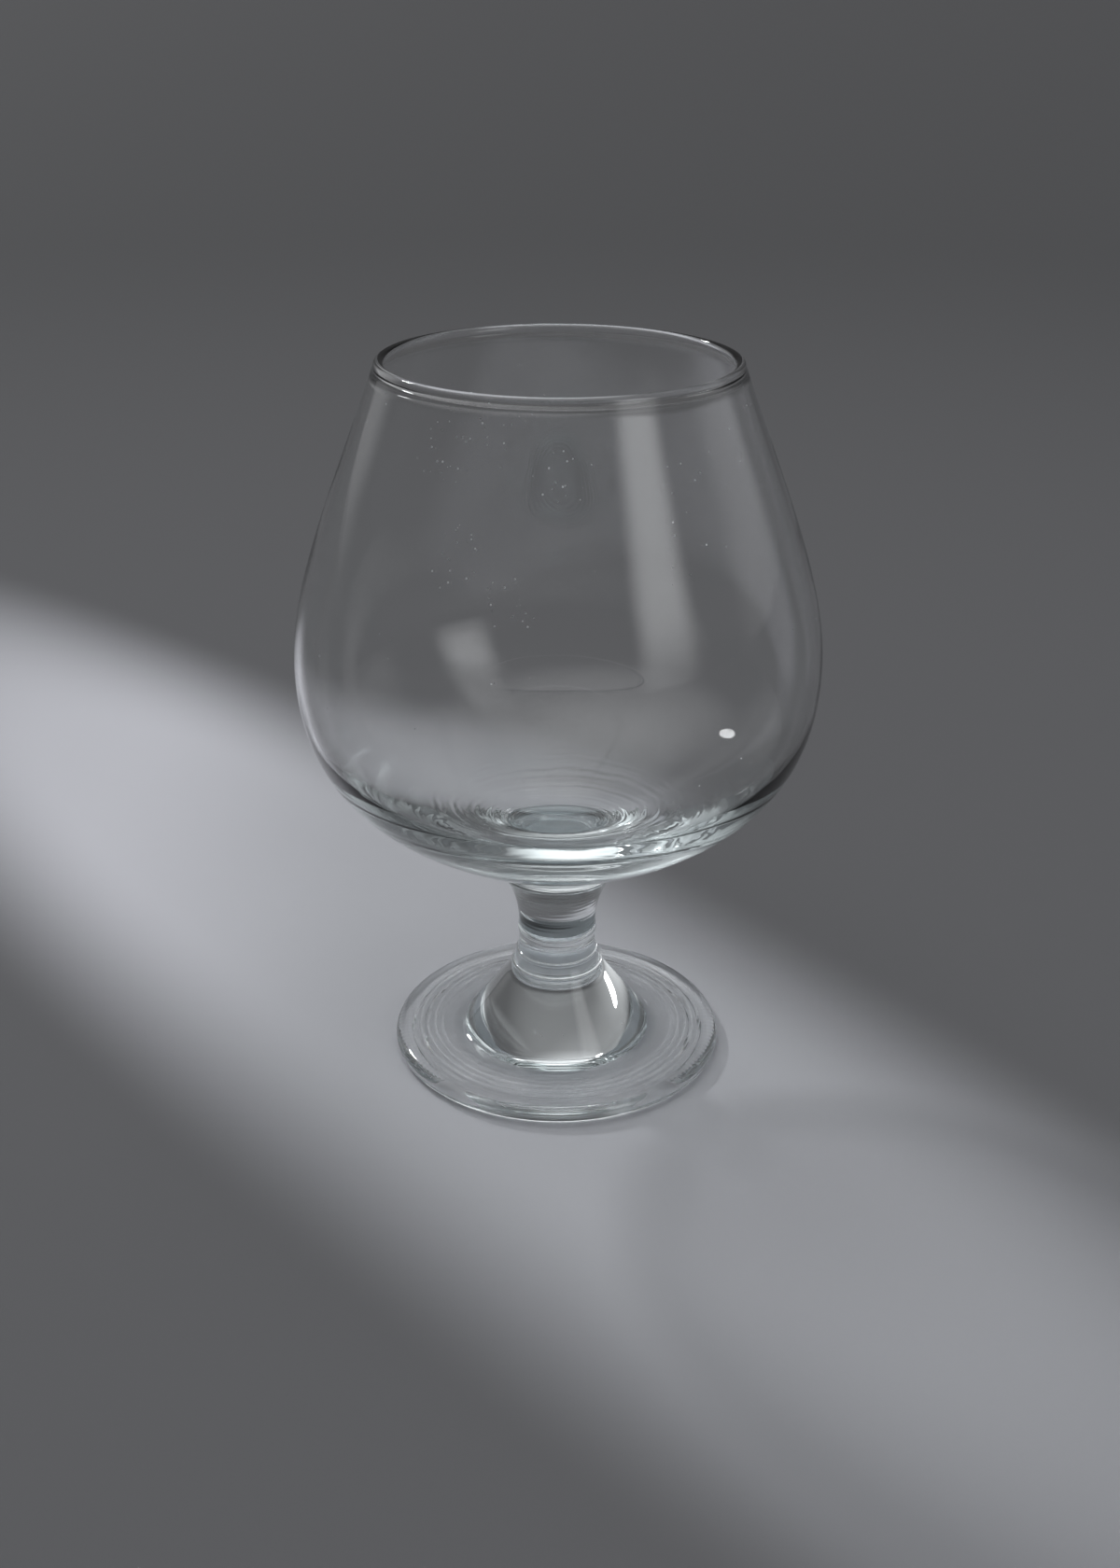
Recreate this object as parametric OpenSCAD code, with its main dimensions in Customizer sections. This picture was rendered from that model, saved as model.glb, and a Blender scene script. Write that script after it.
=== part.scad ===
// Brandy snifter: a thin balloon bowl with a heavy base, a short waisted stem and a pressed round foot.
// The three pieces of glass are fused hot, so each one meets the next face to face.
// Millimetres. The origin is the centre of the foot where it stands on the table, and +Z is up.

/* [Bowl] */
// Outer radius of the bowl at its widest
bowl_r = 47.5; // [42:0.5:54]
// Outer radius of the mouth
mouth_r = 31.5; // [26:0.5:38]
// Height from the base of the bowl to its widest point
belly_h = 42.9; // [38:0.1:50]
// Height from the widest point to the top of the lip
shoulder_h = 53.7; // [44:0.1:66]
// Thickness of the wall above the widest point
wall_t = 1; // [0.8:0.05:1.6]
// Thickness of the fire-polished bead round the lip
lip_d = 1.8; // [1.6:0.05:2.6]
// Thickness of solid glass under the inside floor
floor_t = 12.9; // [11:0.1:16]

/* [Base of the bowl] */
// Radius of the round seam where the bowl is fused to the stem
seam_r = 11.2; // [9.5:0.1:13]
// Height of the collar that the bowl is drawn into above the seam
collar_h = 5.7; // [4.8:0.1:7]
// How far the collar widens above the seam
collar_flare = 7.4; // [6:0.1:9]
// Radius of the soft hollow in the middle of the inside floor
dimple_r = 16; // [12:0.5:18]
// Depth of that hollow
dimple_h = 2; // [1:0.25:4]

/* [Stem] */
// Height of the stem from the foot to the bowl
stem_h = 11.8; // [8:0.1:24]
// Radius of the waist of the stem
waist_r = 7.4; // [6:0.1:9]

/* [Foot] */
// Radius of the foot
foot_r = 31.9; // [27:0.1:36]
// Height of the foot with its hub and neck
foot_h = 25.8; // [23:0.1:32]
// Thickness of the foot at its rounded edge
edge_t = 3.5; // [3:0.1:5]
// Height of the straight neck on top of the hub
neck_h = 3.2; // [2.6:0.1:5]
// Height of the low band that is pressed out round the top of the neck
band_h = 2; // [1.4:0.1:2.4]
// How far the band stands proud of the neck
band_proud = 0.2; // [0.1:0.05:0.35]
// Radius of the hollow curve between the neck and the hub
neck_fillet_r = 13; // [10:0.5:15]
// Radius of the hollow curve between the hub and the flat of the foot
hub_fillet_r = 4; // [2.5:0.25:6]
// Slant of the hub from the upright, in degrees
hub_angle = 37; // [34:0.5:42]
// Number of fine rings round the hollow curve between the neck and the hub
ring_count = 2; // [1:1:3]
// Radius of the rounded top of a fine ring
ring_r = 0.5; // [0.4:0.05:0.7]
// How far a fine ring stands proud of the hollow curve
ring_proud = 0.25; // [0.1:0.05:0.35]

/* [Underside] */
// Width of the flat ring that the foot stands on
bearing_w = 1.6; // [1:0.1:2.5]
// Depth of the hollow under the middle of the foot
hollow_h = 1.5; // [1:0.1:2]
// Depth of each shallow step that the mould leaves under the foot
step_h = 0.2; // [0.1:0.05:0.25]
// Width of the flat between two steps
step_w = 2.1; // [1.5:0.1:3]
// Number of mould steps
step_count = 2; // [1:1:3]

/* [Hot seam] */
// Radius of the small bead that is left round the seam of bowl and stem
seam_bead_r = 0.4; // [0.3:0.05:0.6]
// How far the bead stands proud of the glass
seam_bead_proud = 0.15; // [0.1:0.05:0.25]

/* [Hidden] */
$fn = 160;
curve_steps = 18;
fillet_steps = 8;

// heights of the seams, the widest point and the lip
neck_z = foot_h;
seam_z = neck_z + stem_h;
collar_z = seam_z + collar_h;
belly_z = seam_z + belly_h;
lip_z = belly_z + shoulder_h - lip_d / 2;
floor_z = seam_z + floor_t;

// the bead of the lip stands a little outside the wall, by a share of its thickness
lip_proud_share = 0.03;
lip_proud = lip_proud_share * lip_d;
collar_r = seam_r + collar_flare;

// the waist is one hollow arc that is upright at the foot and leans outwards up to the seam
stem_flare = seam_r - waist_r;
stem_arc_r = (stem_h * stem_h + stem_flare * stem_flare) / (2 * stem_flare);
stem_lean = asin(stem_h / stem_arc_r);

// handles of the bowl's curves, as shares of the height or radius that each curve spans
belly_up_share = 0.284;
lip_down_share = 0.38;
lip_lean_share = 0.363;
belly_down_share = 0.508;
base_out_share = 0.677;
base_slope_share = 0.453;
inside_down_share = 0.61;
floor_out_share = 0.82;
collar_up_share = 0.452;
collar_in_share = 0.4;

// a cubic curve from a to d that leaves towards b and arrives from c
function curve(a, b, c, d, steps) = [
    for (i = [0 : steps]) let (t = i / steps, s = 1 - t)
        s * s * s * a + 3 * s * s * t * b + 3 * s * t * t * c + t * t * t * d
];

// an arc about centre c, from angle a0 to angle a1
function arc(c, r, a0, a1, steps) = [
    for (i = [0 : steps]) let (a = a0 + (a1 - a0) * i / steps) c + r * [cos(a), sin(a)]
];

// the wall from the belly to the lip, outside when inset is zero
function shoulder(inset) =
    let (
        top = [mouth_r - lip_proud - inset, lip_z],
        belly = [bowl_r - inset, belly_z],
        rise = lip_z - belly_z,
        drop = lip_down_share * rise
    )
    curve(belly, belly + [0, belly_up_share * rise], top + [lip_lean_share * drop, -drop], top, curve_steps);

// the outside from the collar out to the belly
function underside() =
    let (
        base = [collar_r, collar_z],
        belly = [bowl_r, belly_z],
        reach = base_out_share * (bowl_r - collar_r),
        fall = belly_down_share * (belly_z - collar_z)
    )
    curve(base, base + reach * [1, base_slope_share], belly - [0, fall], belly, curve_steps);

// the drawn collar from the seam out to the base of the bowl, which goes on from the lean of the stem
function collar() =
    let (
        seam = [seam_r, seam_z],
        base = [collar_r, collar_z],
        reach = collar_up_share * collar_h,
        back = collar_in_share * collar_flare
    )
    curve(seam, seam + reach * [sin(stem_lean), cos(stem_lean)], base - back * [1, base_slope_share], base,
        fillet_steps);

// the inside from the belly down to the middle of the floor, before the floor sinks there
function inside() =
    let (
        belly = [bowl_r - wall_t, belly_z],
        middle = [0, floor_z],
        fall = inside_down_share * (belly_z - floor_z)
    )
    curve(belly, belly - [0, fall], [floor_out_share * belly.x, floor_z], middle, 2 * curve_steps);

// points with the soft hollow sunk below them, which starts level at its rim and is deepest in the middle
function sunk(points) = [
    for (p = points) let (share = min(p.x / dimple_r, 1), rise = 1 - share * share)
        p - [0, dimple_h * rise * rise]
];

function reversed(points) = [for (i = [len(points) - 1 : -1 : 0]) points[i]];
function rest(points) = [for (i = [1 : len(points) - 1]) points[i]];

module bowl_outline() {
    polygon(concat(
        [[0, seam_z]],
        collar(),
        rest(underside()),
        rest(shoulder(0)),
        reversed(shoulder(wall_t)),
        rest(sunk(inside()))
    ));
    translate([mouth_r - lip_d / 2, lip_z]) circle(d = lip_d);
}

module stem_outline() {
    polygon(concat(
        [[0, seam_z], [0, neck_z]],
        reversed(arc([waist_r + stem_arc_r, neck_z], stem_arc_r, 180 - stem_lean, 180, curve_steps))
    ));
}

// the band round the neck bulges out in one flat arc that starts and ends on the neck
band_r = (band_h * band_h / 4 + band_proud * band_proud) / (2 * band_proud);
band_angle = asin(band_h / 2 / band_r);
band_centre = [waist_r + band_proud - band_r, neck_z - band_h / 2];

// hub of the foot, from the neck down to the flat
fillet_centre = [waist_r + neck_fillet_r, neck_z - neck_h];
hub_top = fillet_centre - neck_fillet_r * [cos(hub_angle), sin(hub_angle)];
hub_foot_z = edge_t + hub_fillet_r * (1 - sin(hub_angle));
hub_foot_r = hub_top.x + (hub_top.y - hub_foot_z) * tan(hub_angle);
edge_r = edge_t / 2;

// underside of the foot, from the flat ring in to the middle
bearing_r = foot_r - edge_r - bearing_w;

module foot_outline() {
    polygon(concat(
        [[0, neck_z]],
        arc(band_centre, band_r, band_angle, -band_angle, fillet_steps),
        arc(fillet_centre, neck_fillet_r, 180, 180 + hub_angle, fillet_steps),
        arc([hub_foot_r + hub_fillet_r * cos(hub_angle), edge_t + hub_fillet_r], hub_fillet_r,
            180 + hub_angle, 270, fillet_steps),
        arc([foot_r - edge_r, edge_r], edge_r, 90, -90, 2 * fillet_steps),
        [for (i = [0 : step_count - 1]) each [
            [bearing_r - i * step_w, i * step_h],
            [bearing_r - i * step_w - step_h, (i + 1) * step_h]
        ]],
        [[0, hollow_h]]
    ));
}

// fine rings that the mould leaves at even angles along the hollow curve above the hub
module hub_rings() {
    depth = neck_fillet_r + ring_r - ring_proud;
    for (i = [1 : ring_count]) {
        turn = hub_angle * i / (ring_count + 1);
        rotate_extrude() translate(fillet_centre - depth * [cos(turn), sin(turn)]) circle(r = ring_r);
    }
}

// the half of the seam's bead that lies above the seam, or with side -1 the half below it
module seam_bead(side) {
    reach = 2 * seam_bead_r;
    rotate_extrude() intersection() {
        translate([seam_r + seam_bead_proud - seam_bead_r, seam_z]) circle(r = seam_bead_r);
        translate([0, side > 0 ? seam_z : seam_z - reach]) square([seam_r + reach, reach]);
    }
}

module bowl() {
    color("azure") {
        rotate_extrude() bowl_outline();
        seam_bead(1);
    }
}

module stem() {
    color("lightcyan") {
        rotate_extrude() stem_outline();
        seam_bead(-1);
    }
}

module foot() {
    color("lightblue") {
        rotate_extrude() foot_outline();
        hub_rings();
    }
}

bowl();
stem();
foot();
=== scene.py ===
"""A brandy snifter of clear glass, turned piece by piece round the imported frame, on a plain studio floor."""

import math

import bmesh
import bpy
from bpy.props import FloatProperty, FloatVectorProperty, IntProperty, PointerProperty
from mathutils import Matrix, Vector
from mathutils.geometry import interpolate_bezier


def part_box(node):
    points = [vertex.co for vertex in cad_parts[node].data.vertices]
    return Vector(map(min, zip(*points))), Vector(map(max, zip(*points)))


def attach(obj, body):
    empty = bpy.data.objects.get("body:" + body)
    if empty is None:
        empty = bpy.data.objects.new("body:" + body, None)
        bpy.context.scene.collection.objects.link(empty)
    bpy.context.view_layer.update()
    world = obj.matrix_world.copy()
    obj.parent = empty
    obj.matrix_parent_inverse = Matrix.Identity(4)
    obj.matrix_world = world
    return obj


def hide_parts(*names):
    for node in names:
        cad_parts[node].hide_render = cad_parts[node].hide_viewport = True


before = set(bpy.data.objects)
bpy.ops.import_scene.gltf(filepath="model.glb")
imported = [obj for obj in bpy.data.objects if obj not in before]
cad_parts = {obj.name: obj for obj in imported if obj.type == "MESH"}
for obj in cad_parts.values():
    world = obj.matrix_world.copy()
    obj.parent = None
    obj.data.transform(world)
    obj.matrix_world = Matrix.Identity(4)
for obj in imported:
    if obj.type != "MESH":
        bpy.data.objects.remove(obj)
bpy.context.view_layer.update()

bl_info = {
    "name": "Brandy Snifter",
    "version": (1, 0, 0),
    "blender": (4, 5, 0),
    "location": "3D View > Sidebar > Snifter",
    "description": "Turns the bowl, stem and foot of a brandy snifter and lights them on a studio floor",
    "category": "Add Mesh",
}

SAME_PLACE = 1e-7
WHITE = (1, 1, 1, 1)
GLASS_BOUNCES = 32
# Spots on the near side of the bowl that get white nicks: partly real nicks, partly painted highlight where
# reflected sparkles show.
NICKS_AND_PAINTED_HIGHLIGHT_SPOTS = [
    (-0.018, -0.029, 0.126),
    (-0.007, -0.042, 0.105),
    (0.001, -0.0355, 0.1225),
    (-0.013, -0.0295, 0.131),
    (-0.016, -0.037, 0.110),
]
FLAT_LINES = (0.021, 0.0295)
# Where the flat of the foot gets white turned lines: partly real lines, partly painted sheen.
FLAT_LINES_AND_SHEEN = (0.0225, 0.029)
SIDE_SPAN = (-0.1, 0.95)
LOW_SPAN = (-0.2, 0.7)
BOWL_LOW, BOWL_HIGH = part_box("bowl")
STEM_LOW, STEM_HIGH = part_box("stem")
FOOT_LOW, FOOT_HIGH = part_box("foot")


def length(name, description, default):
    """A property that holds a length in metres."""
    settings = {"name": name, "description": description, "default": default}
    return FloatProperty(**settings, min=0, precision=5, unit="LENGTH")


def share(name, description, default):
    """A property that holds a share of another size."""
    return FloatProperty(name=name, description=description, default=default, subtype="FACTOR")


def angle(name, description, degrees):
    """A property that holds an angle."""
    return FloatProperty(name=name, description=description, default=math.radians(degrees), subtype="ANGLE")


def amount(name, description, default):
    """A property that holds a plain number, such as the strength of a light."""
    return FloatProperty(name=name, description=description, default=default, min=0)


def count(name, description, default):
    """A property that holds a whole number."""
    return IntProperty(name=name, description=description, default=default, min=1)


def tint(name, description, default):
    """A property that holds a colour."""
    return FloatVectorProperty(
        name=name, description=description, default=default, size=3, min=0, max=1, subtype="COLOR"
    )


class BowlSizes(bpy.types.PropertyGroup):
    """Sizes of the bowl."""

    radius: length("Radius", "Outer radius at the widest point", BOWL_HIGH.x)
    mouth_radius: length("Mouth radius", "Outer radius of the mouth", 0.0315)
    belly_height: length("Belly height", "Height from the seam to the widest point", 0.0429)
    wall: length("Wall", "Thickness of the wall above the widest point", 0.001)
    lip: length("Lip", "Thickness of the fire-polished bead round the lip", 0.0018)
    lip_blend: length("Lip blend", "Room between the bead and the inside of the wall", 0.0005)
    lip_turn: angle("Lip turn", "How far the bead goes round, from straight outwards over its top", 235)
    floor: length("Floor", "Thickness of the solid glass under the inside floor", 0.0129)
    dimple: length("Dimple", "Depth of the soft hollow in the middle of the inside floor", 0.002)
    dimple_radius: length("Dimple radius", "Radius of that hollow", 0.016)
    collar_height: length("Collar height", "Height of the drawn collar above the seam", 0.0057)
    collar_flare: length("Collar flare", "How far the collar widens above the seam", 0.0074)
    belly_up: share("Belly up", "Handle above the widest point, as a share of the rise to the lip", 0.284)
    lip_down: share("Lip down", "Handle below the lip, as a share of the rise to it", 0.38)
    lip_lean: share("Lip lean", "How far that handle leans outwards, as a share of its drop", 0.363)
    belly_down: share("Belly down", "Handle below the widest point, as a share of the fall there", 0.508)
    base_out: share("Base out", "Handle at the collar, as a share of the reach to the widest point", 0.677)
    base_slope: share("Base slope", "Rise of the handle at the collar for each unit outwards", 0.453)
    inside_down: share("Inside down", "Handle inside the wall, as a share of the fall to the floor", 0.61)
    floor_out: share("Floor out", "Handle on the inside floor, as a share of the inner radius", 0.82)
    collar_up: share("Collar up", "Handle at the seam, as a share of the collar's height", 0.452)
    collar_in: share("Collar in", "Handle inside the collar's top, as a share of its flare", 0.40)


class StemSizes(bpy.types.PropertyGroup):
    """Sizes of the stem and of the hot seams at its ends."""

    seam_radius: length("Seam radius", "Radius of the seam with the bowl", 0.0112)
    waist_radius: length("Waist radius", "Radius of the seam with the foot", 0.0074)
    bead_radius: length("Bead radius", "Radius of the small bead round the upper seam", 0.0004)
    bead_proud: length("Bead proud", "How far the bead stands proud of the glass", 0.00015)


class FootSizes(bpy.types.PropertyGroup):
    """Sizes of the foot."""

    radius: length("Radius", "Radius of the foot", FOOT_HIGH.x)
    edge: length("Edge", "Thickness of the foot at its rounded edge", 0.0035)
    neck_height: length("Neck height", "Height of the straight neck on top of the hub", 0.0032)
    band_height: length("Band height", "Height of the low band round the top of the neck", 0.002)
    band_proud: length("Band proud", "How far the band stands proud of the neck", 0.0002)
    neck_fillet: length("Neck fillet", "Radius of the hollow between the neck and the hub", 0.013)
    hub_fillet: length("Hub fillet", "Radius of the hollow between the hub and the flat", 0.004)
    hub_angle: angle("Hub angle", "Slant of the hub from the upright", 37)
    rings: count("Rings", "Number of fine rings round the hollow above the hub", 2)
    ring_radius: length("Ring radius", "Radius of the rounded top of a fine ring", 0.0005)
    ring_proud: length("Ring proud", "How far a fine ring stands proud of the hollow", 0.00025)
    bearing: length("Bearing", "Width of the ring that the foot stands on", 0.0016)
    hollow: length("Hollow", "Depth of the hollow under the middle of the foot", 0.0015)
    step: length("Step", "Depth of each mould step under the foot", 0.0002)
    step_width: length("Step width", "Width of the flat between two steps", 0.0021)
    steps: count("Steps", "Number of mould steps", 2)


class GlassLook(bpy.types.PropertyGroup):
    """Finish of the glass, and how finely it is turned."""

    thin_tint: tint("Thin tint", "Colour of the glass at its surface", (0.985, 0.993, 0.992))
    depth_tint: tint("Depth tint", "Colour that the glass takes on with its depth", (0.30, 0.75, 0.78))
    depth_density: amount("Depth density", "How fast it does, for each metre", 2.5)
    ior: amount("Index of refraction", "How strongly the glass bends light", 1.52)
    smear: share("Smear", "Roughness of the faint smears of handling", 0.02)
    smear_rate: amount("Smear rate", "Smears for each metre", 120)
    wave: length("Wave", "Height of the soft waves that blowing leaves in the wall", 0.00003)
    wave_reach: length("Wave reach", "Distance between those waves", 0.015)
    drawn: length("Drawn", "Height of the fine rings that drawing and pressing leave", 0.00002)
    bowl_pitch: length("Bowl pitch", "Distance between drawn rings in the base of the bowl", 0.0011)
    bowl_fine_pitch: length("Bowl fine pitch", "Distance between the finer ones there", 0.0007)
    stem_pitch: length("Stem pitch", "Distance between drawn rings in the stem", 0.0009)
    foot_pitch: length("Foot pitch", "Distance between turned lines round the flat of the foot", 0.0014)
    foot_fine_pitch: length("Foot fine pitch", "Distance between the finer ones there", 0.0005)
    foot_dimples: count("Foot dimples", "Number of dimples under the ring that the foot stands on", 160)
    # The nicked spots are partly real nicks and partly painted highlight.
    nick_and_highlight_gap: length("Nick gap", "Distance between nicks in the nicked spots", 0.0016)
    nick_and_highlight_size: share("Nick size", "Radius of a nick as a share of it", 0.13)
    nick_and_highlight_reach: length("Nick reach", "Radius of a nicked spot", 0.006)
    dust_gap: length("Dust gap", "Distance between specks in patches on the bowl", 0.0035)
    dust_size: share("Dust size", "Radius of a speck as a share of it", 0.06)
    dust_reach: length("Dust reach", "Distance between those patches", 0.022)
    scratch_gap: length("Scratch gap", "Distance between short scratches on the bowl", 0.006)
    scratch_size: share("Scratch size", "Half of a scratch's width as a share of it", 0.015)
    scratch_length: amount("Scratch length", "Its length for each unit of width", 14)
    scratch_reach: length("Scratch reach", "Distance between patches of scratches", 0.033)
    speck_gap: length("Speck gap", "Distance between specks on the stem and foot", 0.004)
    speck_size: share("Speck size", "Radius of such a speck as a share of it", 0.04)
    # The white lines on the flat are partly painted sheen that brightens it.
    line_and_sheen_strength: share("Line strength", "How much the turned lines cover the flat of the foot", 0.16)
    # Colour of specks, scratches and lines; in the nicked spots and on the flat of the foot it is partly
    # painted highlight and painted sheen.
    mark_tint: tint("Mark tint", "Colour of specks and scratches", (0.96, 0.98, 1))
    mark_strength: share("Mark strength", "How much specks and scratches cover the glass", 1)
    mark_glint: share("Mark glint", "How much of the light that they throw back is glint", 0.4)
    mark_roughness: share("Mark roughness", "Roughness of specks and scratches", 0.5)
    turns: count("Turns", "Faces round the axis", 256)
    curve_steps: count("Curve steps", "Points along each long curve of an outline", 64)
    arc_steps: count("Arc steps", "Points along each short arc of an outline", 16)


class StageLook(bpy.types.PropertyGroup):
    """Floor, light and camera."""

    # Painted light on the floor: the tone round the glass is a painted pool of light, the paler tone at the
    # left is a painted band of light, and the tone away from the glass is painted shade where that light falls
    # away.
    lit_pool_tone: tint("Near tone", "Colour of the floor round the glass", (0.45, 0.455, 0.48))
    painted_beam_tone: tint("Pale tone", "Colour of the floor at the far left", (0.62, 0.62, 0.66))
    shaded_far_tone: tint("Far tone", "Colour of the floor away from the glass", (0.125, 0.125, 0.13))
    horizon_tone: tint("Horizon tone", "Colour of floor and studio at the horizon", (0.08, 0.08, 0.083))
    # Where the painted pool of light lies, which way it is long, and where its edge fades into painted shade.
    lit_pool_middle: FloatVectorProperty(
        name="Near middle",
        description="Middle of the part of the floor with the near tone",
        default=(-0.04, 0.04, 0),
        subtype="XYZ",
        unit="LENGTH",
    )
    lit_pool_turn: angle("Near turn", "Which way that part of the floor is long, from the X axis", 130)
    lit_pool_length: amount("Near length", "How long it is for each unit of width", 5)
    # Where the painted band of light at the left begins and where it reaches its full tone.
    painted_beam_start: length("Pale start", "Distance to the left from which the floor turns paler", 0.035)
    painted_beam_reach: length("Pale reach", "Distance there from which it has its pale tone", 0.12)
    lit_pool_reach: length("Near reach", "Distance across it up to which the floor keeps its near tone", 0.03)
    far_reach: length("Far reach", "Distance across it from which the floor has its far tone", 0.075)
    horizon_reach: length("Horizon reach", "Distance from which the floor has the tone of the horizon", 1.2)
    floor_size: length("Floor size", "Radius of the floor", 60)
    sky_light: amount("Sky light", "Strength of the broad soft light overhead", 1.4)
    sky_turn: angle("Sky turn", "Where it stands, from straight behind the glass to the right", -60)
    sky_height: angle("Sky height", "How high it stands", 76)
    sky_reach: angle("Sky reach", "How far it spreads from its middle", 50)
    side_light: amount("Side light", "Strength of the tall soft light at the near right", 1.9)
    side_turn: angle("Side turn", "Where it stands", 132)
    side_reach: angle("Side reach", "How far it spreads to each side", 19)
    left_light: amount("Left light", "Strength of the wide low light at the back left", 0.4)
    left_turn: angle("Left turn", "Where it stands", -42)
    left_reach: angle("Left reach", "How far it spreads to each side", 28)
    right_light: amount("Right light", "Strength of the wide low light at the right", 0.3)
    right_turn: angle("Right turn", "Where it stands", 75)
    right_reach: angle("Right reach", "How far it spreads to each side", 25)
    key_light: amount("Key light", "Strength of the smaller light whose glints show in the glass", 145)
    key_turn: angle("Key turn", "Where it stands", -40)
    key_height: angle("Key height", "How high it stands", 36)
    key_reach: angle("Key reach", "How far it spreads from its middle", 3.4)
    back_light: amount("Back light", "Strength of the faint round light behind the glass", 0.12)
    back_height: angle("Back height", "How high it stands", 42)
    back_reach: angle("Back reach", "How far it spreads from its middle", 28)
    fill_light: amount("Fill light", "Strength of the even light from above", 0.1)
    floor_gap: length("Floor gap", "Room under the foot, so that it doesn't share the floor's plane", 0.00004)
    camera_distance: length("Camera distance", "Distance of the camera in front of the axis", 0.3016)
    camera_height: length("Camera height", "Height of the camera above the floor", 0.1946)
    camera_pitch: angle("Camera pitch", "How far the camera looks down", 24.87)
    camera_yaw: angle("Camera yaw", "How far the camera looks to the right", 0.08)
    camera_roll: angle("Camera roll", "How far the camera is rolled", 0.30)
    focal_pixels: amount("Focal length", "Focal length in pixels of the photograph", 1899)
    frame_pixels: amount("Frame height", "Height of the photograph in pixels", 1680)


class Wire:
    """An output in a node tree. Arithmetic on it adds Math nodes, and node() adds any other node."""

    def __init__(self, tree, socket=None):
        self.tree = tree
        self.socket = socket

    def node(self, kind, inputs=None, settings=None, output=0):
        """Adds a node of a kind, sets its settings first, then its inputs' values or links."""
        made = self.tree.nodes.new(kind)
        for name, value in (settings or {}).items():
            setattr(made, name, value)
        for name, value in (inputs or {}).items():
            if isinstance(value, Wire):
                self.tree.links.new(value.socket, made.inputs[name])
            else:
                made.inputs[name].default_value = value
        return Wire(self.tree, made.outputs[output] if made.outputs else None)

    def math(self, operation, *values):
        """Adds a Math node."""
        return self.node("ShaderNodeMath", dict(enumerate(values)), {"operation": operation})

    def __add__(self, other):
        return self.math("ADD", self, other)

    def __radd__(self, other):
        return self.math("ADD", other, self)

    def __sub__(self, other):
        return self.math("SUBTRACT", self, other)

    def __rsub__(self, other):
        return self.math("SUBTRACT", other, self)

    def __mul__(self, other):
        return self.math("MULTIPLY", self, other)

    def __rmul__(self, other):
        return self.math("MULTIPLY", other, self)

    def __truediv__(self, other):
        return self.math("DIVIDE", self, other)

    def vector_math(self, operation, *values):
        """Adds a Vector Math node and takes its single value."""
        inputs = dict(enumerate(values))
        return self.node("ShaderNodeVectorMath", inputs, {"operation": operation}, output="Value")

    def sine(self):
        """The sine of this value, in radians."""
        return self.math("SINE", self)

    def root(self):
        """The square root of this value."""
        return self.math("SQRT", self)

    def between(self, low, high):
        """A smooth step from 0 at low to 1 at high."""
        settings = {"interpolation_type": "SMOOTHSTEP"}
        return self.node("ShaderNodeMapRange", {"Value": self, "From Min": low, "From Max": high}, settings)

    def blend(self, first, second):
        """The colour that goes from the first to the second as this value goes from 0 to 1."""
        inputs = {0: self, 6: first, 7: second}
        return self.node("ShaderNodeMix", inputs, {"data_type": "RGBA"}, output=2)


def opaque(colour):
    """A colour with full alpha."""
    return (*colour, 1)


def new_material(name):
    """An empty material and the start of its node tree."""
    material = bpy.data.materials.new(name)
    material.use_nodes = True
    material.node_tree.nodes.clear()
    return material, Wire(material.node_tree)


def finish_material(tree, surface, volume=None):
    """Links the surface, and the inside if it has one, to the material's output."""
    inputs = {"Surface": surface}
    if volume:
        inputs["Volume"] = volume
    tree.node("ShaderNodeOutputMaterial", inputs)


def split(place):
    """Distance from the upright axis, angle round it and height of a place."""
    parts = [place.node("ShaderNodeSeparateXYZ", {"Vector": place}, output=axis) for axis in ("X", "Y", "Z")]
    across, away, height = parts
    return (across * across + away * away).root(), away.math("ARCTAN2", away, across), height


def waves(place, reach, height):
    """Soft uneven relief, about so long from crest to crest and so high, in metres."""
    pattern = place.node("ShaderNodeTexNoise", {"Vector": place, "Scale": 1 / reach, "Detail": 1})
    return (pattern - 0.5) * (2 * height)


def grooves(distance, pitch, height):
    """Even grooves at a pitch along a distance, in metres."""
    return (distance * (2 * math.pi / pitch)).sine() * height


def within(value, low, high, edge):
    """1 between low and high, with a soft edge."""
    return value.between(low - edge, low + edge) * (1 - value.between(high - edge, high + edge))


def patches(place, reach):
    """1 in soft patches about so far apart, in metres."""
    pattern = place.node("ShaderNodeTexNoise", {"Vector": place, "Scale": 1 / reach, "Detail": 1})
    return pattern.between(0.56, 0.64)


def near(place, spots, reach):
    """1 close to any of some points, with a soft edge."""
    gaps = [place.vector_math("DISTANCE", place, spot) for spot in spots]
    nearest = gaps[0]
    for gap in gaps[1:]:
        nearest = nearest.math("MINIMUM", nearest, gap)
    return 1 - nearest.between(reach * 0.6, reach)


def specks(place, cell, radius):
    """1 on small round specks, one for each cell of a size in metres, with a radius as a share of it."""
    cells = place.node("ShaderNodeTexVoronoi", {"Vector": place, "Scale": 1 / cell, "Randomness": 1})
    return 1 - cells.between(radius * 0.6, radius)


def drawn_out(place, length):
    """A slanting place in which specks are short fine scratches, so many times as long as they are wide."""
    turn = {"Vector": place, "Rotation": (0.3, 0.5, 0.2), "Scale": (1, 1, 1 / length)}
    return place.node("ShaderNodeMapping", turn)


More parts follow.
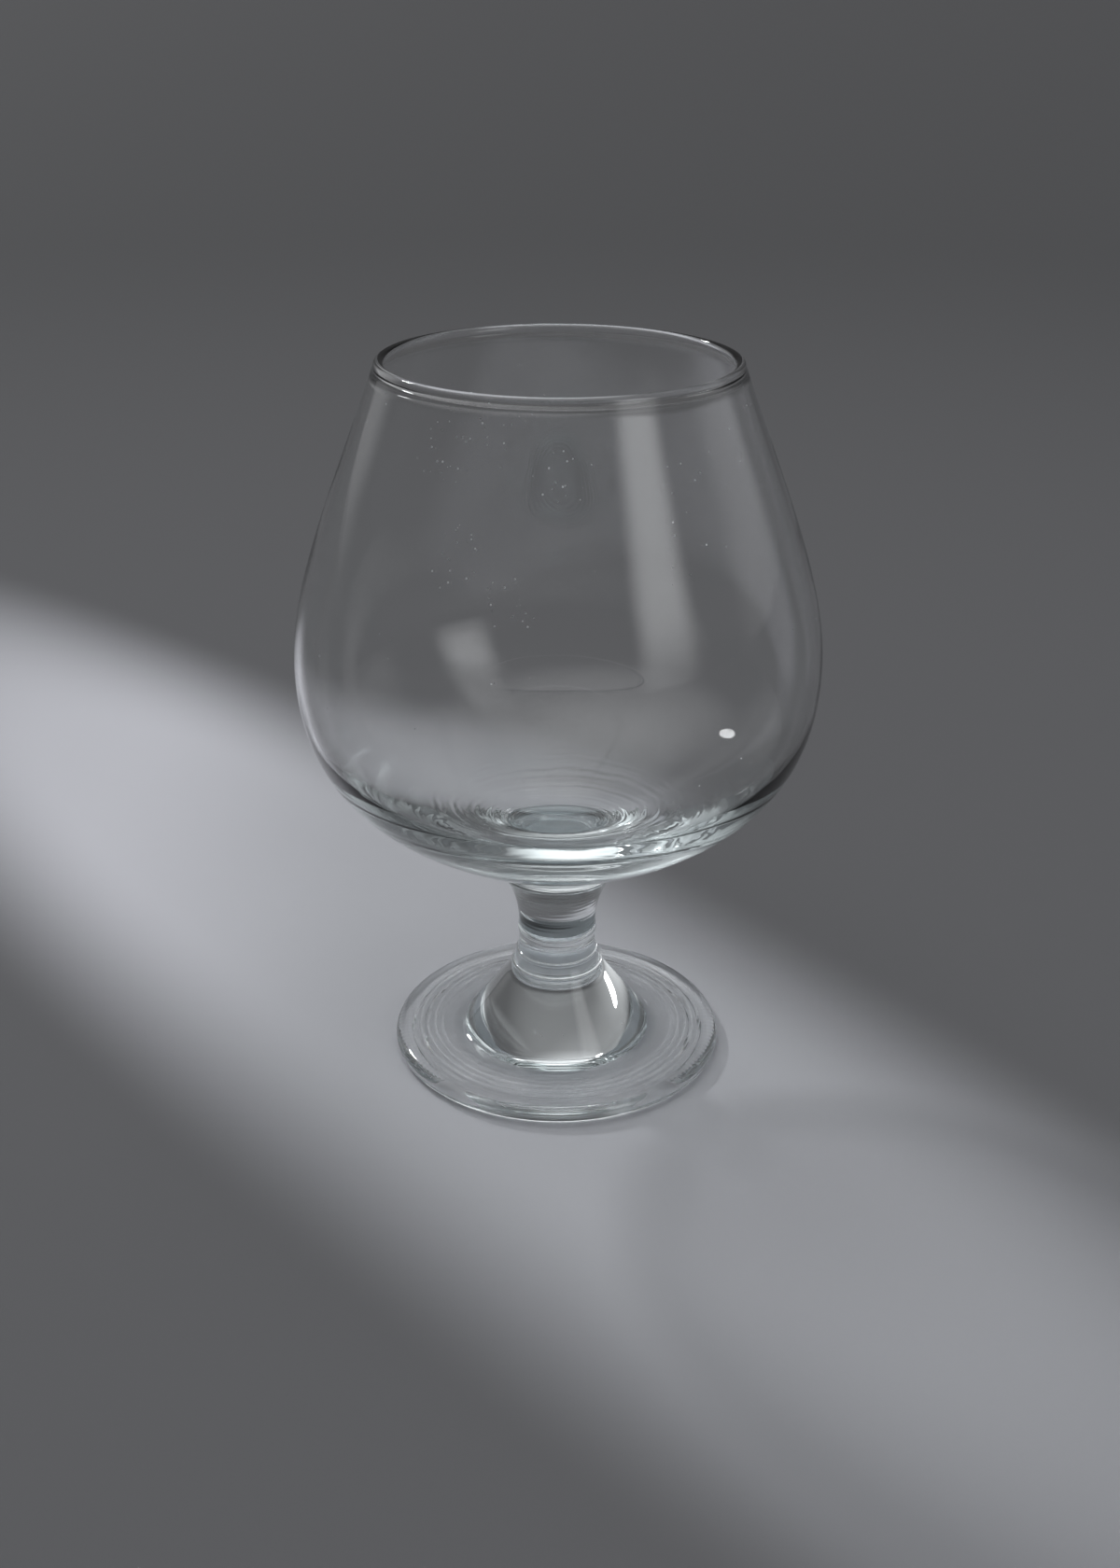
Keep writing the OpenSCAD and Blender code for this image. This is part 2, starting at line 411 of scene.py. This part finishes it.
def glass_material(name, look, relief, marks):
    """Clear soda-lime glass with a relief in metres, and dull white specks, scratches and lines where marks is
    1; in places these are partly painted highlight and painted sheen.
    """
    material, tree = new_material(name)
    place = tree.node("ShaderNodeTexCoord", output="Object")
    normal = tree.node("ShaderNodeBump", {"Height": relief(place), "Strength": 1, "Distance": 1})
    smears = tree.node("ShaderNodeTexNoise", {"Vector": place, "Scale": look.smear_rate, "Detail": 2})
    smears = smears.between(0.55, 0.75)
    clear = tree.node("ShaderNodeBsdfPrincipled", {
        "Base Color": smears.blend(WHITE, opaque(look.thin_tint)),
        "Roughness": smears * look.smear,
        "IOR": look.ior,
        "Transmission Weight": 1.0,
        "Normal": normal,
    })
    dull = tree.node("ShaderNodeBsdfPrincipled", {
        "Base Color": opaque(look.mark_tint),
        "Metallic": look.mark_glint,
        "Roughness": look.mark_roughness,
    })
    surface = tree.node("ShaderNodeMixShader", {0: marks(place) * look.mark_strength, 1: clear, 2: dull})
    depth = {"Color": opaque(look.depth_tint), "Density": look.depth_density}
    finish_material(tree, surface, tree.node("ShaderNodeVolumeAbsorption", depth))
    return material


def seam_material():
    """Fused glass: no surface is left there, so light goes straight through from piece to piece."""
    material, tree = new_material("fused_seam")
    finish_material(tree, tree.node("ShaderNodeBsdfPrincipled", {"Alpha": 0.0, "Roughness": 1.0}))
    return material


def floor_material(look):
    """Seamless studio paper, pale round the glass and greyer far away: the pale oval round the glass and the
    paler band to the left are painted light, and the grey further off is painted shade where that light falls
    away.
    """
    material, tree = new_material("floor_paper")
    place = tree.node("ShaderNodeTexCoord", output="Object")
    distance = tree.vector_math("LENGTH", place)
    # The oval is the painted pool of light round the glass; past it the floor fades to painted shade.
    turn, size = (0, 0, look.lit_pool_turn), (look.lit_pool_length, 1, 1)
    inputs = {"Vector": place, "Location": look.lit_pool_middle, "Rotation": turn, "Scale": size}
    oval = tree.node("ShaderNodeMapping", inputs, {"vector_type": "TEXTURE"})
    far = tree.vector_math("LENGTH", oval).between(look.lit_pool_reach, look.far_reach)
    horizon = distance.between(look.far_reach, look.horizon_reach)
    fibre = tree.node("ShaderNodeTexNoise", {"Vector": place, "Scale": 900, "Detail": 3})
    # A painted band of light that grows paler towards the left.
    pale = (tree.node("ShaderNodeSeparateXYZ", {"Vector": place}, output="X") * -1).between(
        look.painted_beam_start, look.painted_beam_reach
    )
    # Mixes the painted pool and band of light with the painted shade further off and with the horizon tone.
    lit_pool_colour = pale.blend(opaque(look.lit_pool_tone), opaque(look.painted_beam_tone))
    colour = horizon.blend(far.blend(lit_pool_colour, opaque(look.shaded_far_tone)), opaque(look.horizon_tone))
    normal = tree.node("ShaderNodeBump", {"Height": fibre, "Strength": 0.1, "Distance": 0.0001})
    inputs = {"Base Color": colour, "Roughness": 0.9, "Specular IOR Level": 0.2, "Normal": normal}
    finish_material(tree, tree.node("ShaderNodeBsdfPrincipled", inputs))
    return material


def at(radius, height):
    """A point of an outline."""
    return Vector((radius, 0, height))


def curve(start, leave, arrive, end, steps):
    """Points of a cubic curve from start to end."""
    return interpolate_bezier(start, leave, arrive, end, steps + 1)


def arc(centre, radius, first, last, steps):
    """Points of an arc, from the first angle to the last, counted from straight outwards."""
    angles = [first + (last - first) * step / steps for step in range(steps + 1)]
    return [centre + radius * at(math.cos(turn), math.sin(turn)) for turn in angles]


def flare(stem):
    """Radius of the hollow arc of the waist, and how far it leans outwards at the upper seam."""
    tall = BOWL_LOW.z - FOOT_HIGH.z
    widening = stem.seam_radius - stem.waist_radius
    radius = (tall**2 + widening**2) / (2 * widening)
    return radius, math.asin(tall / radius)


def bead(stem, side, steps):
    """The half of the seam's bead above the seam, or below it with side -1, from the seam to the glass."""
    centre = at(stem.seam_radius + stem.bead_proud - stem.bead_radius, BOWL_LOW.z)
    lean = flare(stem)[1]
    nearest = (stem.bead_radius - stem.bead_proud) * math.cos(lean)
    last = math.acos(nearest / stem.bead_radius) - side * lean
    return arc(centre, stem.bead_radius, 0, side * last, steps)


def shoulder(bowl, inset, belly_z, lip_z, steps):
    """The wall from the widest point to the lip, on its outside when inset is 0."""
    rise = lip_z - belly_z
    drop = bowl.lip_down * rise
    low = at(bowl.radius - inset, belly_z)
    high = at(bowl.mouth_radius - inset, lip_z)
    return curve(low, low + at(0, bowl.belly_up * rise), high + at(bowl.lip_lean * drop, -drop), high, steps)


def sag(bowl, radius):
    """How deep the soft hollow in the inside floor is at a radius."""
    share = min(radius / bowl.dimple_radius, 1)
    return bowl.dimple * (1 - share**2) ** 2


def bowl_outline(bowl, stem, look):
    """The outline of the bowl, from the middle of the seam up the outside, over the lip and down inside."""
    seam_z, top_z = BOWL_LOW.z, BOWL_HIGH.z
    steps, short = look.curve_steps, look.arc_steps
    seam = at(stem.seam_radius, seam_z)
    base = at(stem.seam_radius + bowl.collar_flare, seam_z + bowl.collar_height)
    belly_z = seam_z + bowl.belly_height
    lip_z = top_z - bowl.lip / 2
    slope = at(1, bowl.base_slope)
    lean = flare(stem)[1]
    collar = curve(
        seam,
        seam + bowl.collar_up * bowl.collar_height * at(math.sin(lean), math.cos(lean)),
        base - bowl.collar_in * bowl.collar_flare * slope,
        base,
        short,
    )
    seam_bead = bead(stem, 1, short)
    collar = [point for point in collar if point.z > seam_bead[-1].z]
    belly = at(bowl.radius, belly_z)
    underside = curve(
        base,
        base + bowl.base_out * (bowl.radius - base.x) * slope,
        belly - at(0, bowl.belly_down * (belly_z - base.z)),
        belly,
        steps,
    )
    outside = shoulder(bowl, 0, belly_z, lip_z, steps)
    lip_centre = at(bowl.mouth_radius - bowl.lip / 2, lip_z)
    lip = arc(lip_centre, bowl.lip / 2, 0, bowl.lip_turn, 2 * short)
    inside_wall = shoulder(bowl, bowl.wall, belly_z, lip_z, steps)
    inside_wall = [point for point in inside_wall if point.z < lip_z - bowl.lip / 2 - bowl.lip_blend]
    inner_belly = belly - at(bowl.wall, 0)
    floor = at(0, seam_z + bowl.floor)
    inside = curve(
        inner_belly,
        inner_belly - at(0, bowl.inside_down * (belly_z - floor.z)),
        at(bowl.floor_out * inner_belly.x, floor.z),
        floor,
        steps,
    )
    inside = [point - at(0, sag(bowl, point.x)) for point in inside]
    outer = [*seam_bead, *collar, *underside[1:], *outside[1:-1]]
    return [at(0, seam_z), *outer, *lip, *reversed(inside_wall), *inside[1:]]


def stem_outline(stem, look):
    """The outline of the stem, whose waist is one hollow arc that is upright at the foot."""
    low, high = FOOT_HIGH.z, BOWL_LOW.z
    radius, reach = flare(stem)
    seam_bead = bead(stem, -1, look.arc_steps)
    waist = arc(at(stem.waist_radius + radius, low), radius, math.pi, math.pi - reach, look.curve_steps)
    waist = [point for point in waist if point.z < seam_bead[-1].z]
    return [at(0, low), *waist, *reversed(seam_bead), at(0, high)]


def ringed_hollow(foot, centre, steps):
    """The hollow arc from the neck to the hub, with its fine rings."""
    depth = foot.neck_fillet + foot.ring_radius - foot.ring_proud
    opening = (foot.neck_fillet**2 + depth**2 - foot.ring_radius**2) / (2 * foot.neck_fillet * depth)
    half_width = math.acos(opening)
    points, start = [], math.pi
    for number in range(foot.rings):
        turn = math.pi + foot.hub_angle * (number + 1) / (foot.rings + 1)
        points += arc(centre, foot.neck_fillet, start, turn - half_width, steps)
        ring = centre + depth * at(math.cos(turn), math.sin(turn))
        offset = points[-1] - ring
        side = math.atan2(offset.z, offset.x) - (turn - math.pi)
        points += arc(ring, foot.ring_radius, turn - math.pi + side, turn - math.pi - side, steps)[1:-1]
        start = turn + half_width
    return points + arc(centre, foot.neck_fillet, start, math.pi + foot.hub_angle, steps)


def foot_outline(foot, stem, look):
    """The outline of the foot, from the middle of its neck, down the hub and round under the edge."""
    top = FOOT_HIGH.z
    steps, short = look.curve_steps, look.arc_steps
    half_turn, lean = math.pi, foot.hub_angle
    neck = at(stem.waist_radius, top)
    band_radius = (foot.band_height**2 / 4 + foot.band_proud**2) / (2 * foot.band_proud)
    band_reach = math.asin(foot.band_height / 2 / band_radius)
    band_centre = neck + at(foot.band_proud - band_radius, -foot.band_height / 2)
    band = arc(band_centre, band_radius, band_reach, -band_reach, short)
    neck_arc = ringed_hollow(foot, neck + at(foot.neck_fillet, -foot.neck_height), short)
    hub_end_z = foot.edge + foot.hub_fillet * (1 - math.sin(lean))
    hub_end_r = neck_arc[-1].x + (neck_arc[-1].z - hub_end_z) * math.tan(lean)
    hub_centre = at(hub_end_r + foot.hub_fillet * math.cos(lean), foot.edge + foot.hub_fillet)
    hub_arc = arc(hub_centre, foot.hub_fillet, half_turn + lean, 1.5 * half_turn, short)
    edge_r = foot.edge / 2
    edge = arc(at(foot.radius - edge_r, edge_r), edge_r, half_turn / 2, -half_turn / 2, 2 * short)
    under_r = foot.radius - edge_r - foot.bearing
    under = []
    for number in range(foot.steps):
        reach = under_r - number * foot.step_width
        under += [at(reach, number * foot.step), at(reach - foot.step, (number + 1) * foot.step)]
    return [at(0, top), *band, *neck_arc, *hub_arc, *edge, *under, at(0, foot.hollow)]


def turned(name, outline, turns, seams, materials, crease=math.radians(40)):
    """A closed solid turned about the upright axis. Flat faces at a seam's height get the last material."""
    mesh = bmesh.new()
    points = [mesh.verts.new(point) for point in outline]
    edges = [mesh.edges.new(pair) for pair in zip(points, points[1:])]
    bmesh.ops.spin(
        mesh, geom=points + edges, cent=(0, 0, 0), axis=(0, 0, 1), dvec=(0, 0, 0),
        angle=2 * math.pi, steps=turns, use_merge=True, use_normal_flip=False, use_duplicate=False,
    )
    bmesh.ops.remove_doubles(mesh, verts=mesh.verts, dist=SAME_PLACE)
    bmesh.ops.dissolve_degenerate(mesh, dist=SAME_PLACE / 10, edges=mesh.edges)
    bmesh.ops.recalc_face_normals(mesh, faces=mesh.faces)
    for face in mesh.faces:
        face.smooth = True
        if any(all(abs(corner.co.z - seam) < SAME_PLACE for corner in face.verts) for seam in seams):
            face.material_index = len(materials) - 1
    for edge in mesh.edges:
        sides = {face.material_index for face in edge.link_faces}
        edge.smooth = len(sides) == 1 and edge.calc_face_angle(0) < crease
    data = bpy.data.meshes.new(name)
    mesh.to_mesh(data)
    mesh.free()
    piece = bpy.data.objects.new(name, data)
    bpy.context.collection.objects.link(piece)
    for material in materials:
        data.materials.append(material)
    return piece


def stand_for(piece, node):
    """Makes a piece stand for a CAD node: hangs it under the root body and hides the node."""
    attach(piece, "root")
    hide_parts(node)


def shared_seam():
    """The one material of all fused faces."""
    return bpy.data.materials.get("fused_seam") or seam_material()


def bowl_relief(look, floor):
    """Soft waves all over, and drawn rings round the thick base, which end below the inside floor."""

    def relief(place):
        height = split(place)[2]
        uneven = waves(place, look.wave_reach / 2, look.drawn * 20)
        coarse = grooves(height + uneven, look.bowl_pitch, look.drawn)
        fine = grooves(height + uneven, look.bowl_fine_pitch, look.drawn * 0.6)
        above = height.between(BOWL_LOW.z + floor * 0.45, BOWL_LOW.z + floor * 0.8)
        return waves(place, look.wave_reach, look.wave) + (coarse + fine) * (1 - above)

    return relief


def bowl_marks(look):
    """White nicks in a few spots on the near side, partly real nicks and partly painted highlight, specks in
    patches all round and some short scratches.
    """

    def marks(place):
        # Nicks in the listed spots, partly real and partly painted highlight.
        nicks_and_highlights = specks(place, look.nick_and_highlight_gap, look.nick_and_highlight_size) * near(place, NICKS_AND_PAINTED_HIGHLIGHT_SPOTS, look.nick_and_highlight_reach)
        dust = specks(place, look.dust_gap, look.dust_size) * patches(place, look.dust_reach)
        slanting = drawn_out(place, look.scratch_length)
        scratches = specks(slanting, look.scratch_gap, look.scratch_size) * patches(place, look.scratch_reach)
        return nicks_and_highlights + dust + scratches

    return marks


def stem_relief(look):
    """Faint drawn rings."""

    def relief(place):
        rings = grooves(split(place)[2], look.stem_pitch, look.drawn * 0.6)
        return waves(place, look.wave_reach, look.wave * 0.5) + rings

    return relief


def few_marks(look):
    """A few specks."""

    def marks(place):
        return specks(place, look.speck_gap, look.speck_size) * patches(place, look.dust_reach)

    return marks


def foot_relief(look, foot):
    """Turned lines round the flat, and a row of small dimples under the ring that the foot stands on."""

    def relief(place):
        radius, turn, height = split(place)
        coarse = grooves(radius, look.foot_pitch, look.drawn * 1.2)
        fine = grooves(radius, look.foot_fine_pitch, look.drawn * 0.25)
        on_flat = within(radius, *FLAT_LINES, 0.001) * height.between(foot.edge * 0.5, foot.edge * 0.8)
        ring = foot.radius - foot.edge / 2 - foot.bearing / 2
        under = within(radius, ring - foot.bearing, ring + foot.bearing, foot.step)
        under = under * (1 - height.between(0, foot.step * 1.5))
        dimples = (turn * look.foot_dimples).sine() * (look.drawn * 0.25)
        lines = (coarse + fine) * on_flat
        return waves(place, look.wave_reach, look.wave * 0.5) + lines + dimples * under

    return relief


def foot_marks(look):
    """A few specks, and faint white turned lines round the flat, partly real lines and partly painted sheen
    that brightens the flat.
    """

    def marks(place):
        radius = split(place)[0]
        coarse = grooves(radius, look.foot_pitch, 1).between(0.5, 1)
        fine = grooves(radius, look.foot_fine_pitch, 1).between(0.5, 1)
        # White turned lines, partly real and partly painted sheen that brightens the flat.
        lines = (coarse + fine * 0.5) * within(radius, *FLAT_LINES_AND_SHEEN, 0.0015)
        return few_marks(look)(place) + lines * look.line_and_sheen_strength

    return marks


class SNIFTER_OT_bowl(bpy.types.Operator):
    """Turns the thin balloon bowl with its fire-polished lip and thick base"""

    bl_idname = "snifter.bowl"
    bl_label = "Bowl"

    def execute(self, context):
        scene = context.scene
        bowl, stem, look = scene.snifter_bowl, scene.snifter_stem, scene.snifter_glass
        glass = glass_material("bowl_glass", look, bowl_relief(look, bowl.floor), bowl_marks(look))
        outline = bowl_outline(bowl, stem, look)
        piece = turned("bowl_blown", outline, look.turns, [BOWL_LOW.z], [glass, shared_seam()])
        stand_for(piece, "bowl")
        return {"FINISHED"}


class SNIFTER_OT_stem(bpy.types.Operator):
    """Turns the short waisted stem between its two hot seams"""

    bl_idname = "snifter.stem"
    bl_label = "Stem"

    def execute(self, context):
        scene = context.scene
        stem, look = scene.snifter_stem, scene.snifter_glass
        glass = glass_material("stem_glass", look, stem_relief(look), few_marks(look))
        seams = [FOOT_HIGH.z, BOWL_LOW.z]
        piece = turned("stem_drawn", stem_outline(stem, look), look.turns, seams, [glass, shared_seam()])
        stand_for(piece, "stem")
        return {"FINISHED"}


class SNIFTER_OT_foot(bpy.types.Operator):
    """Turns the pressed foot with its hub, rounded edge and stepped underside"""

    bl_idname = "snifter.foot"
    bl_label = "Foot"

    def execute(self, context):
        scene = context.scene
        foot, stem, look = scene.snifter_foot, scene.snifter_stem, scene.snifter_glass
        glass = glass_material("foot_glass", look, foot_relief(look, foot), foot_marks(look))
        outline = foot_outline(foot, stem, look)
        piece = turned("foot_pressed", outline, look.turns, [FOOT_HIGH.z], [glass, shared_seam()])
        stand_for(piece, "foot")
        return {"FINISHED"}


def make_floor(look):
    """The round floor just under the foot."""
    mesh = bmesh.new()
    bmesh.ops.create_circle(mesh, cap_ends=True, radius=look.floor_size, segments=96)
    bmesh.ops.translate(mesh, verts=mesh.verts, vec=(0, 0, -look.floor_gap))
    data = bpy.data.meshes.new("studio_floor")
    mesh.to_mesh(data)
    mesh.free()
    data.materials.append(floor_material(look))
    floor = bpy.data.objects.new("studio_floor", data)
    bpy.context.collection.objects.link(floor)


def soft_light(direction, azimuth, elevation, inner, outer):
    """A round soft light in the studio's wall: 1 within the inner angle of its middle, 0 past the outer."""
    flat = math.cos(elevation)
    middle = (flat * math.sin(azimuth), flat * math.cos(azimuth), math.sin(elevation))
    return direction.vector_math("DOT_PRODUCT", direction, middle).between(math.cos(outer), math.cos(inner))


def tall_light(direction, up, azimuth, reach, low, high):
    """A tall soft light in the studio's wall, from a low to a high sine of its elevation."""
    towards = (math.sin(azimuth), math.cos(azimuth), 0)
    nearness = direction.vector_math("DOT_PRODUCT", direction, towards)
    across = (nearness / (1 - up * up).root()).between(math.cos(reach), 1)
    return across * across * up.between(low, low + 0.4) * (1 - up.between(high - 0.45, high))


def seen_plain(tree):
    """1 for what the camera sees of the studio past the glass or straight through it, without its lights."""
    camera, through, glossy, diffuse = [
        tree.node("ShaderNodeLightPath", output=name)
        for name in ("Is Camera Ray", "Is Transmission Ray", "Glossy Depth", "Diffuse Depth")
    ]
    bounced = (glossy + diffuse).math("GREATER_THAN", glossy + diffuse, 0.5)
    return camera.math("MAXIMUM", camera, through * (1 - bounced))


def make_world(look):
    """A dark grey studio with a broad soft light overhead, tall ones at the sides and a small one behind."""
    world = bpy.data.worlds.new("studio")
    world.use_nodes = True
    world.node_tree.nodes.clear()
    tree = Wire(world.node_tree)
    direction = tree.node("ShaderNodeTexCoord", output="Generated")
    up = tree.node("ShaderNodeSeparateXYZ", {"Vector": direction}, output="Z")
    sky = soft_light(direction, look.sky_turn, look.sky_height, 0, look.sky_reach) * look.sky_light
    side = tall_light(direction, up, look.side_turn, look.side_reach, *SIDE_SPAN) * look.side_light
    left = tall_light(direction, up, look.left_turn, look.left_reach, *LOW_SPAN) * look.left_light
    right = tall_light(direction, up, look.right_turn, look.right_reach, *LOW_SPAN) * look.right_light
    key = soft_light(direction, look.key_turn, look.key_height, 0, look.key_reach) * look.key_light
    back = soft_light(direction, 0, look.back_height, 0, look.back_reach) * look.back_light
    strength = sky + key + side + left + right + back + up.between(0.3, 1.0) * look.fill_light
    strength = strength * (1 - seen_plain(tree))
    glow = tree.node("ShaderNodeBackground", {"Color": (0.97, 0.985, 1, 1), "Strength": strength})
    wall = tree.node("ShaderNodeBackground", {"Color": opaque(look.horizon_tone), "Strength": 1.0})
    both = tree.node("ShaderNodeAddShader", {0: wall, 1: glow})
    tree.node("ShaderNodeOutputWorld", {"Surface": both})
    bpy.context.scene.world = world


def make_camera(look):
    """The camera where the photograph was taken from."""
    data = bpy.data.cameras.new("camera")
    data.sensor_fit = "AUTO"
    data.sensor_width = 36
    data.lens = look.focal_pixels / look.frame_pixels * data.sensor_width
    data.clip_start = 0.01
    camera = bpy.data.objects.new("camera", data)
    place = Matrix.Translation((0, -look.camera_distance, look.camera_height))
    turn = Matrix.Rotation(-look.camera_yaw, 4, "Z")
    tilt = Matrix.Rotation(math.pi / 2 - look.camera_pitch, 4, "X")
    roll = Matrix.Rotation(look.camera_roll, 4, "Z")
    camera.matrix_world = place @ turn @ tilt @ roll
    bpy.context.collection.objects.link(camera)
    bpy.context.scene.camera = camera


class SNIFTER_OT_stage(bpy.types.Operator):
    """Lays the floor and sets the soft light and the camera"""

    bl_idname = "snifter.stage"
    bl_label = "Stage"

    def execute(self, context):
        scene = context.scene
        look = scene.snifter_stage
        make_floor(look)
        make_world(look)
        make_camera(look)
        scene.view_settings.view_transform = "Standard"
        scene.cycles.max_bounces = GLASS_BOUNCES
        scene.cycles.transmission_bounces = GLASS_BOUNCES
        scene.cycles.transparent_max_bounces = GLASS_BOUNCES
        scene.cycles.glossy_bounces = 12
        scene.cycles.blur_glossy = 0
        return {"FINISHED"}


class SNIFTER_PT_panel(bpy.types.Panel):
    """Lists what the add-on makes"""

    bl_idname = "SNIFTER_PT_panel"
    bl_label = "Brandy Snifter"
    bl_space_type = "VIEW_3D"
    bl_region_type = "UI"
    bl_category = "Snifter"

    def draw(self, context):
        for operator in OPERATORS:
            self.layout.operator(operator.bl_idname)
        for name, kind in GROUPS.items():
            column = self.layout.column(align=True)
            for size in kind.__annotations__:
                column.prop(getattr(context.scene, name), size)


GROUPS = {
    "snifter_bowl": BowlSizes,
    "snifter_stem": StemSizes,
    "snifter_foot": FootSizes,
    "snifter_glass": GlassLook,
    "snifter_stage": StageLook,
}
OPERATORS = (SNIFTER_OT_bowl, SNIFTER_OT_stem, SNIFTER_OT_foot, SNIFTER_OT_stage)


def register():
    """Registers the classes and hangs the property groups on the scene."""
    for item in (*GROUPS.values(), *OPERATORS, SNIFTER_PT_panel):
        bpy.utils.register_class(item)
    for name, group in GROUPS.items():
        setattr(bpy.types.Scene, name, PointerProperty(type=group))


def unregister():
    """Takes the property groups and the classes away again."""
    for name in GROUPS:
        delattr(bpy.types.Scene, name)
    for item in (SNIFTER_PT_panel, *reversed(OPERATORS), *reversed(GROUPS.values())):
        bpy.utils.unregister_class(item)


def main():
    """Makes every piece and the stage."""
    register()
    bpy.ops.snifter.bowl()
    bpy.ops.snifter.stem()
    bpy.ops.snifter.foot()
    bpy.ops.snifter.stage()


if __name__ == "__main__":
    main()
